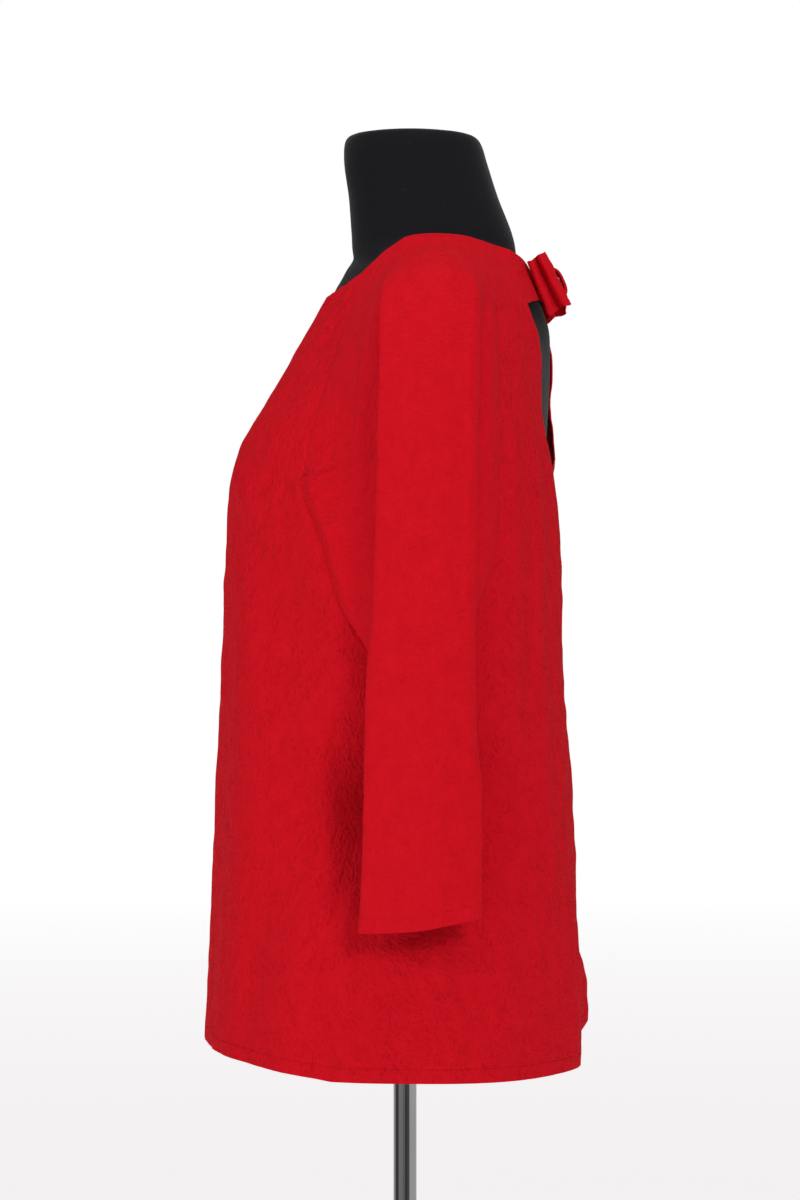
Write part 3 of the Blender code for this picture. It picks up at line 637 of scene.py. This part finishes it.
def make_back(side, creases, seed, flip, material):
    """One back panel: a hem below and along the slit, and seams at the side, the strap and the centre."""
    grid, slit = back_grid()
    round_it = run_along(grid, 1)
    from_edge = round_it[:, -1:] - round_it
    place = np.stack([from_edge + slit, grid[..., 2]], axis=2)
    down = run_along(grid, 0)
    open_here = slit > SEAM
    to_seam = np.minimum(np.minimum(round_it, down + 1), np.where(open_here, FAR, from_edge + 4))
    edge = np.minimum(down[-1:] - down, np.where(open_here, from_edge, FAR))
    lift = relief(place, creases) + puckers(place, seed)
    if side == "right":
        up_the_slit = np.clip((grid[..., 2] - GAPE_FROM) / (GAPE_FULL - GAPE_FROM), 0, 1)
        lift += GAPE * np.exp(-((from_edge / GAPE_WIDTH) ** 2)) * up_the_slit**0.7
    shaped = moved_out(grid, lift, to_seam)
    if side == "right":
        from_flare = (place - (FLARE_PLACE, HEM_BACK)) / FLARE_REACH
        shaped[..., 2] += FLARE_LIFT * np.exp(-np.sum(from_flare**2, axis=2))
        shaped = mirrored(shaped)
    piece = add_piece(f"back_{side}_cloth", [shaped], [place], [edge], CLOTH, material, flip)
    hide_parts(f"back_{side}")
    return piece


def make_sleeve(side, seed, flip, material):
    """One raglan sleeve with its half of the neck strap: hems at the cuff, the neck and round the strap."""
    grid = sleeve_grid()
    strap = strap_grid(grid)
    middle = int(np.argmin(np.abs(SLEEVE_COLUMNS - 5)))
    down = run_along(grid, 0)
    place = across_and(grid, middle, np.broadcast_to(down[:, middle, None], grid.shape[:2]))
    round_it = run_along(grid, 1)
    rows = np.append(ROWS_DOWN_TO_UNDERARM, ROWS_TO_CUFF)
    strap_end = (rows <= 1)[:, None]
    to_back = np.where(strap_end, FAR, round_it[:, -1:] - round_it)
    to_seam = np.minimum(round_it, to_back)
    edge = np.minimum(down, down[-1:] - down)
    lift = relief(place, SLEEVE_CREASES) + puckers(place, seed)
    neck_end = np.clip(down / 10, 0, 1)
    shaped = moved_out(grid, lift * neck_end, to_seam)
    strap_round = run_along(strap, 1)
    strap_down = run_along(strap, 0)
    strap_edge = np.minimum(strap_down, strap_down[-1:] - strap_down)
    strap_place = np.stack([place[: len(strap), -1:, 0] + strap_round, strap_down], axis=2)
    strap[:, 0] = shaped[: len(strap), -1]
    grids = [shaped, strap]
    if side == "right":
        grids = [mirrored(part) for part in grids]
    places, edges = [place, strap_place], [edge, strap_edge]
    piece = add_piece(f"sleeve_{side}_cloth", grids, places, edges, CLOTH, material, flip)
    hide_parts(f"sleeve_{side}")
    return piece


def bow_point(out, behind, up):
    """Place of a point of the bow from its own directions, out to the left, behind the strap and up: the
    ends sag back by the square of their distance out, and the whole leans by its tilt."""
    behind = behind - BOW_SAG * (out / LOOP_PATH[:, 0].max()) ** 2
    sine, cosine = math.sin(BOW_TILT), math.cos(BOW_TILT)
    y = behind * cosine - up * sine
    z = behind * sine + up * cosine
    return np.stack([out, y, z], axis=-1) + BOW_CENTRE


def make_loop(side, seed, flip, material):
    """The strip of a bow loop, closed round its two rolls, pinched and pleated where the knot holds it."""
    knots = np.arange(len(LOOP_PATH) + 1)
    path = through(knots, np.concatenate([LOOP_PATH, LOOP_PATH[:1]]), steps([10] * len(LOOP_PATH)))
    out, behind = (path * (1, LOOP_DEPTH)).T[:, None, :]
    reach = np.clip((out - KNOT_WIDTH / 2) / 30, 0, 1)
    share = np.linspace(-1, 1, 31)[:, None]
    half = (LOOP_WAIST + (LOOP_HEIGHT - LOOP_WAIST) * np.sin(reach * math.pi / 2)) / 2
    rng = np.random.default_rng(seed)
    front_roll = np.clip(-behind / 6, -1, 1)
    pleats = np.zeros(np.broadcast_shapes(out.shape, share.shape))
    for count in LOOP_PLEATS:
        shift = rng.uniform(0, 2 * math.pi, 2)
        pleats = pleats + np.sin(share * count * math.pi + shift[0] + 1.6 * front_roll) / count
    swell = np.sin(np.clip((out - 8) / 42, 0, 1) * math.pi)
    ruffle = np.exp(-(((share + 1) / 0.22) ** 2)) * np.sin(out / 4.2 + rng.uniform(0, 6)) * reach
    away = -np.sign(front_roll) * (0.64 * pleats * swell + 0.8 * ruffle)
    behind = behind * (1 - LOOP_SPREAD * share * reach) + away
    up = share * half + reach * (0.9 * np.sin(out / 6.5 + shift[1]) + 1.2 * np.sin(behind / 3)) * share**2
    grid = bow_point(*np.broadcast_arrays(out, behind, up))
    distance = run_along(grid, 1)
    width = run_along(grid, 0)
    place = np.stack([width, distance], axis=2)
    edge = np.minimum(width, width[-1:] - width)
    if side == "right":
        grid = mirrored(grid)
    edges = [edge + BOW_HEM_SHIFT]
    piece = add_piece(f"bow_loop_{side}_cloth", [grid], [place], edges, BOW_CLOTH, material, flip)
    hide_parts(f"bow_loop_{side}")
    return piece


def make_knot(material):
    """The band round the pinched middle: a squarish oval ring, swollen in its middle and finely pleated."""
    angle = np.linspace(0, 2 * math.pi, 73)[:, None]
    along = np.linspace(-1, 1, 25)[None, :]
    swell = 1 - 0.12 * along**2 + 0.028 * np.sin(along * 7.5 + 0.7 * np.sin(angle)) * (1 - along**2)
    behind, up = (
        size / 2 * np.sign(part) * np.abs(part) ** 0.7 * swell
        for size, part in ((KNOT_DEPTH, np.cos(angle)), (KNOT_HEIGHT, np.sin(angle)))
    )
    grid = bow_point(*np.broadcast_arrays(KNOT_WIDTH / 2 * along, behind, up))
    place = np.stack([run_along(grid, 1), run_along(grid, 0)], axis=2)
    piece = add_piece("bow_knot_cloth", [grid], [place], [without_hem(grid)], BOW_CLOTH, material)
    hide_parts("bow_knot")
    return piece


def make_form(material):
    """The jersey-covered form: rings of ovals that thin to a lobe beside the neck, closed by flat ends
    whose rings shrink to their middle, with a gather in the neck's cap."""
    heights = through(range(len(FORM)), FORM, steps([3, 4] + [6] * (len(FORM) - 4) + [3]))
    height, front, back, half_width, mid, keep_front, keep_back = heights.T[:, :, None]
    angle = np.arange(FORM_SIDES + 1) / FORM_SIDES * 2 * math.pi
    power = 1 + (FORM_SQUARENESS - 1) * np.clip((SHOULDER_END - height) / SQUARE_OVER, 0, 1)
    x = half_width * np.sign(np.sin(angle)) * np.abs(np.sin(angle)) ** power
    ahead = np.cos(angle) > 0
    depth = np.where(ahead, front, back) - mid
    keep = np.where(ahead, keep_front, keep_back)
    round_part = np.abs(np.cos(angle)) ** power
    bump = np.exp(-((x / NECK_BUMP) ** 2)) - np.exp(-((half_width / NECK_BUMP) ** 2))
    y = mid + depth * (keep * round_part + (1 - keep) * bump)
    rings = np.stack([x, y, np.broadcast_to(height, x.shape)], axis=2)
    shrink = np.array([0.0, 0.2, 0.4, 0.6, 0.75, 0.88])[:, None]
    caps = []
    for ring in (rings[0], rings[-1]):
        centre = np.array([0, ring[:, 1].mean(), ring[0, 2]])
        caps.append(centre + (ring - centre) * shrink[..., None])
    gather = np.exp(-(((caps[0][..., 1] - GATHER_Y) / 9) ** 2) - (caps[0][..., 0] / 14) ** 2)
    caps[0][..., 2] -= GATHER_DEPTH * gather
    grid = np.concatenate([caps[0], rings, caps[1][::-1]])
    down = np.broadcast_to(run_along(grid, 0)[:, :1], grid.shape[:2])
    place = np.stack([run_along(grid, 1), down], axis=2)
    piece = add_piece("form_jersey", [grid], [place], [without_hem(grid)], 0, material)
    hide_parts("form_torso")
    return piece


def make_turned(name, node, profile, sides, material):
    """A turned metal piece: its profile carried round the axis, with the corners kept crisp."""
    radius, height = np.array(profile, float)[::-1].T[..., None]
    angle = np.arange(sides + 1) / sides * 2 * math.pi
    around = (radius * np.sin(angle), -radius * np.cos(angle), height)
    grid = np.stack(np.broadcast_arrays(*around), axis=2)
    place = np.stack([run_along(grid, 1), run_along(grid, 0)], axis=2)
    piece = add_piece(name, [grid], [place], [without_hem(grid)], 0, material)
    piece.data.set_sharp_from_angle(angle=math.radians(50))
    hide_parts(node)
    return piece


# ---------------------------------------------------------------- materials


class Value:
    """A number socket that turns Python arithmetic into Math nodes."""

    def __init__(self, nodes, socket):
        self.nodes, self.socket = nodes, socket

    def math(self, operation, *others, clamp=False):
        settings = {"operation": operation, "use_clamp": clamp}
        return self.nodes.add("ShaderNodeMath", settings, [self, *others])

    def __add__(self, other):
        return self.math("ADD", other)

    def __sub__(self, other):
        return self.math("SUBTRACT", other)

    def __rsub__(self, other):
        return self.nodes.add("ShaderNodeMath", {"operation": "SUBTRACT"}, [other, self])

    def __mul__(self, other):
        return self.math("MULTIPLY", other)

    def __truediv__(self, other):
        return self.math("DIVIDE", other)

    def __abs__(self):
        return self.math("ABSOLUTE")

    __radd__ = __add__
    __rmul__ = __mul__

    def clamp(self):
        return self.math("ADD", 0.0, clamp=True)


class Finish:
    """A material's or the surround's nodes, with one method that adds any node."""

    def __init__(self, data, shader="Principled BSDF"):
        data.use_nodes = True
        self.data, self.tree = data, data.node_tree
        self.shader = self.tree.nodes[shader]

    def add(self, kind, settings, inputs, output=0):
        """Adds a node: its settings first, then its inputs by name or place, each a value or a socket."""
        node = self.tree.nodes.new(kind)
        stops = settings.pop("stops", None)
        for key, value in settings.items():
            setattr(node, key, value)
        if stops:
            ramp = node.color_ramp.elements
            ramp[0].position, ramp[0].color = stops[0]
            ramp[1].position, ramp[1].color = stops[-1]
            for position, colour in stops[1:-1]:
                ramp.new(position).color = colour
        for key, value in inputs.items() if isinstance(inputs, dict) else enumerate(inputs):
            self.feed(node.inputs[key], value)
        return Value(self, node.outputs[output])

    def feed(self, socket, value):
        if isinstance(value, Value):
            self.tree.links.new(value.socket, socket)
        else:
            socket.default_value = value

    def mix(self, factor, first, second):
        """A colour between two, by a factor."""
        settings = {"data_type": "RGBA"}
        return self.add("ShaderNodeMix", settings, {"Factor": factor, 6: first, 7: second}, 2)

    def noise(self, where, stretch, detail=2.0, roughness=0.5, distortion=0.0):
        """Noise from 0 to 1 at a place stretched by so many repeats in each metre."""
        inputs = {
            "Vector": self.add("ShaderNodeVectorMath", {"operation": "MULTIPLY"}, [where, stretch]),
            "Scale": 1.0,
            "Detail": detail,
            "Roughness": roughness,
            "Distortion": distortion,
        }
        return self.add("ShaderNodeTexNoise", {"noise_dimensions": "3D"}, inputs)

    def bump(self, height, distance):
        """A Bump node whose height is in shares of a distance in metres."""
        return self.add("ShaderNodeBump", {}, {"Strength": 1.0, "Distance": distance, "Height": height})

    def set(self, **sockets):
        """Feeds the shader's sockets, named with underscores for spaces."""
        for name, value in sockets.items():
            self.feed(self.shader.inputs[name.replace("_", " ")], value)
        return self.data


def line_at(distance, centre, half_width):
    """1 on a line at a distance and 0 past its half width, with soft sides."""
    return (1 - abs(distance - centre) / half_width).clamp()


def crinkled_cloth(name, lengthways, deep_crinkle):
    """Red crinkle cloth: short creases, by a share lengthways and else across, a fine weave, and a stitched
    line inside each hem."""
    cloth = Finish(bpy.data.materials.new(name))
    where = cloth.add("ShaderNodeUVMap", {"uv_map": "cloth"}, {})
    body = cloth.add("ShaderNodeTexCoord", {}, {}, "Object")
    edge = cloth.add("ShaderNodeAttribute", {"attribute_name": "to_edge"}, {}, "Fac")
    wander = cloth.noise(where, (60, 45, 1), 1.0)
    lengthwise = cloth.noise(where, (250, 150, 1), 1.4, 0.45, 0.1)
    crosswise = cloth.noise(where, (150, 250, 1), 1.4, 0.45, 0.1)
    ridge_long = 1 - abs(lengthwise * 2 - 1) * 1.4
    ridge_cross = 1 - abs(crosswise * 2 - 1) * 1.4
    blend = ((wander - 0.5) * 3.2 + lengthways).clamp()
    crinkle = ridge_long * blend + ridge_cross * (1 - blend) * 0.8
    puff = cloth.noise(where, (85, 60, 1), 2.0, 0.5)
    weave = cloth.noise(where, (1500, 1300, 1), 1.0)
    stitch = line_at(edge, 0.0105, 0.0011)
    turned = 1 - ((edge - 0.0098) / 0.0012).clamp()
    dashes = cloth.noise(where, (420, 420, 1), 0.0)
    height = crinkle * 0.62 + puff * 0.8 + weave * 0.08 + turned * 0.25 - stitch * (0.05 + dashes * 0.10)
    # Painted shade: the red is darker in the hollows of the crinkle and the puffs and lighter on their
    # ridges, following the same heights that feed the bump.
    painted_hollow_shade = (crinkle * 0.30 + puff * 0.55 + 0.04).clamp()
    broad = cloth.noise(body, (9, 9, 6), 3.0)
    deep = cloth.mix(painted_hollow_shade, (0.46, 0.0026, 0.0078, 1), (0.64, 0.0058, 0.0155, 1))
    faded = cloth.mix((broad - 0.35) * 0.5, deep, (0.56, 0.0044, 0.0125, 1))
    colour = cloth.mix(stitch * 0.02, faded, (0.36, 0.001, 0.004, 1))
    rough = 0.86 + (wander - 0.5) * 0.12
    cloth.shader.inputs["Specular IOR Level"].default_value = 0.05
    return cloth.set(Base_Color=colour, Roughness=rough, Normal=cloth.bump(height, deep_crinkle))


def black_jersey():
    """Stretch jersey: fine knitted ribs, a faint stretched sheen and a little lint."""
    jersey = Finish(bpy.data.materials.new("black_jersey_knit"))
    where = jersey.add("ShaderNodeUVMap", {"uv_map": "cloth"}, {})
    body = jersey.add("ShaderNodeTexCoord", {}, {}, "Object")
    settings = {"wave_type": "BANDS", "bands_direction": "X"}
    inputs = {"Vector": where, "Scale": 210.0, "Distortion": 0.6, "Detail": 1.0, "Detail Scale": 2.0}
    ribs = jersey.add("ShaderNodeTexWave", settings, inputs, 1)
    loops = jersey.noise(where, (700, 420, 1), 1.0)
    stretch = jersey.noise(body, (22, 22, 9), 2.0)
    lint = ((jersey.noise(body, (420, 420, 420), 0.0) - 0.80) * 9).clamp()
    dark = jersey.mix(stretch, (0.0050, 0.0050, 0.0064, 1), (0.0082, 0.0082, 0.0104, 1))
    colour = jersey.mix(lint * 0.25, dark, (0.06, 0.06, 0.064, 1))
    height = ribs * 0.5 + loops * 0.4
    jersey.shader.inputs["Sheen Weight"].default_value = 0.14
    jersey.shader.inputs["Sheen Roughness"].default_value = 0.3
    jersey.shader.inputs["Specular IOR Level"].default_value = 0.12
    rough = 0.78 + stretch * 0.12
    return jersey.set(Base_Color=colour, Roughness=rough, Normal=jersey.bump(height, 0.00018))


def bright_steel(name, along):
    """Polished steel with fine marks left by handling, drawn out along one direction."""
    metal = Finish(bpy.data.materials.new(name))
    body = metal.add("ShaderNodeTexCoord", {}, {}, "Object")
    marks = metal.noise(body, along, 4.0, 0.6)
    smudge = metal.noise(body, (28, 28, 12), 3.0)
    colour = metal.mix(smudge, (0.50, 0.505, 0.51, 1), (0.62, 0.62, 0.625, 1))
    rough = 0.05 + marks * 0.06 + smudge * 0.04
    metal.shader.inputs["Metallic"].default_value = 1.0
    return metal.set(Base_Color=colour, Roughness=rough, Normal=metal.bump(marks, 0.00002))


# ---------------------------------------------------------------- the object

red = crinkled_cloth("red_crinkle_cloth", 0.78, 0.0024)
red_bow = crinkled_cloth("red_crinkle_cloth_bow", 0.5, 0.0011)
red_across = crinkled_cloth("red_crinkle_cloth_across", 0.22, 0.0016)
jersey = black_jersey()
steel_pole = bright_steel("bright_steel_drawn", (500, 500, 6))
steel_turned = bright_steel("bright_steel_turned", (260, 260, 260))

front = make_front(red)
back_left = make_back("left", BACK_LEFT_CREASES, 11, False, red)
back_right = make_back("right", BACK_RIGHT_CREASES, 12, True, red)
sleeve_left = make_sleeve("left", 21, False, red_across)
sleeve_right = make_sleeve("right", 22, True, red_across)
loop_left = make_loop("left", 5, True, red_bow)
loop_right = make_loop("right", 8, False, red_bow)
knot = make_knot(red_bow)
form = make_form(jersey)
make_turned("foot_disc", "base_plate", FOOT_PROFILE, 128, steel_turned)
make_turned("pole_collar", "pole_socket", SOCKET_PROFILE, 64, steel_turned)
make_turned("form_flange", "pole_flange", FLANGE_PROFILE, 64, steel_turned)
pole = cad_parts["pole"]
pole.data.materials.clear()
pole.data.materials.append(steel_pole)

# ---------------------------------------------------------------- floor, light and camera

FLOOR_RADIUS, FLOOR_SIDES = 14, 96  # metres
# Cards round the object that polished metal meets: the turn, as a share of a whole one, and the grey.
CARDS = (
    (0, 0.5), (0.18, 0.4), (0.21, 0.06), (0.29, 0.06), (0.34, 0.24), (0.44, 0.24), (0.51, 0.06),
    (0.59, 0.06), (0.66, 0.5), (0.83, 0.5), (1, 0.5),
)
CAMERA_DISTANCE, CAMERA_Y, CAMERA_HEIGHT = 2.7, -0.00392, 1.08  # metres
FIELD_HEIGHT = 0.9408  # metres of the object that the frame's height covers
SENSOR = 24


def make_floor():
    """A pale round floor that brightens outwards, so that it meets the white surround without an edge."""
    floor = Finish(bpy.data.materials.new("pale_floor"))
    body = floor.add("ShaderNodeTexCoord", {}, {}, "Object")
    out = floor.add("ShaderNodeVectorMath", {"operation": "LENGTH"}, [body], "Value")
    far = ((out - 2.5) / 8).clamp()
    glow = floor.mix(far, (0.61, 0.58, 0.59, 1), (0.82, 0.82, 0.82, 1))
    floor.shader.inputs["Specular IOR Level"].default_value = 0.0
    floor.shader.inputs["Emission Strength"].default_value = 1.0
    floor.set(Base_Color=(0.80, 0.79, 0.79, 1), Roughness=1.0, Emission_Color=glow)
    angle = np.arange(FLOOR_SIDES) / FLOOR_SIDES * 2 * math.pi
    under = np.full(FLOOR_SIDES, -0.0005)
    ring = np.stack([FLOOR_RADIUS * np.cos(angle), FLOOR_RADIUS * np.sin(angle), under], axis=1)
    mesh = bpy.data.meshes.new("floor")
    mesh.from_pydata(ring, [], [list(range(FLOOR_SIDES))])
    mesh.materials.append(floor.data)
    disc = bpy.data.objects.new("floor", mesh)
    disc.visible_glossy = False
    bpy.context.scene.collection.objects.link(disc)


def make_light(name, place, aim, size, power):
    """A square soft light at a place, turned towards an aim."""
    data = bpy.data.lights.new(name, "AREA")
    data.shape = "SQUARE"
    data.size = size
    data.energy = power
    light = bpy.data.objects.new(name, data)
    light.location = place
    towards = np.subtract(aim, place)
    light.rotation_euler = (
        math.acos(-towards[2] / np.linalg.norm(towards)),
        0,
        math.atan2(towards[1], towards[0]) - math.pi / 2,
    )
    bpy.context.scene.collection.objects.link(light)


def make_surround():
    """A white surround to the eye. Its light is a soft gradient, brightest from above and beside the back,
    and polished metal meets upright grey and black cards round the object, with a pale ceiling over them."""
    room = Finish(bpy.data.worlds.new("surround"), "Background")
    way = room.add("ShaderNodeTexCoord", {}, {}, "Generated")
    turn = room.add("ShaderNodeTexGradient", {"gradient_type": "RADIAL"}, {"Vector": way}, "Fac")
    stops = [(place, (grey, grey, grey, 1)) for place, grey in CARDS]
    card = room.add("ShaderNodeValToRGB", {"stops": stops}, {"Fac": turn})
    height = room.add("ShaderNodeSeparateXYZ", {}, {"Vector": way}, "Z")
    shine = room.mix(((height - 0.4) / 0.3).clamp(), card, (0.7, 0.7, 0.7, 1))
    towards_light = [way, (0.55, 0.30, 0.78)]
    facing = room.add("ShaderNodeVectorMath", {"operation": "DOT_PRODUCT"}, towards_light, "Value")
    level = 0.05 + ((facing + 0.6) / 1.6).clamp() * 0.28
    soft = room.mix(level, (0, 0, 0, 1), (1, 1, 1, 1))
    in_metal = room.add("ShaderNodeLightPath", {}, {}, "Is Glossy Ray")
    seen = room.add("ShaderNodeLightPath", {}, {}, "Is Camera Ray")
    room.set(Color=room.mix(seen, room.mix(in_metal, soft, shine), (1, 1, 1, 1)))
    bpy.context.scene.world = room.data


def make_camera():
    """The camera looks level at the wearer's left side, with the tall frame's height fixing its field."""
    data = bpy.data.cameras.new("camera")
    data.sensor_fit = "VERTICAL"
    data.sensor_height = SENSOR
    data.lens = SENSOR * CAMERA_DISTANCE / FIELD_HEIGHT
    camera = bpy.data.objects.new("camera", data)
    camera.location = (CAMERA_DISTANCE, CAMERA_Y, CAMERA_HEIGHT)
    camera.rotation_euler = (math.pi / 2, 0, math.pi / 2)
    bpy.context.scene.collection.objects.link(camera)
    bpy.context.scene.camera = camera


make_floor()
make_light("softbox_side", (2.8, 1.1, 2.2), (0, 0, 1.1), 0.8, 30)
make_light("softbox_front", (1.4, -2.5, 2.0), (0, 0, 1.1), 1.0, 25)
make_light("softbox_above", (0.5, 0.1, 3.5), (0.1, 0, 1.2), 1.3, 24)
make_surround()
make_camera()
bpy.context.scene.view_settings.view_transform = "Standard"
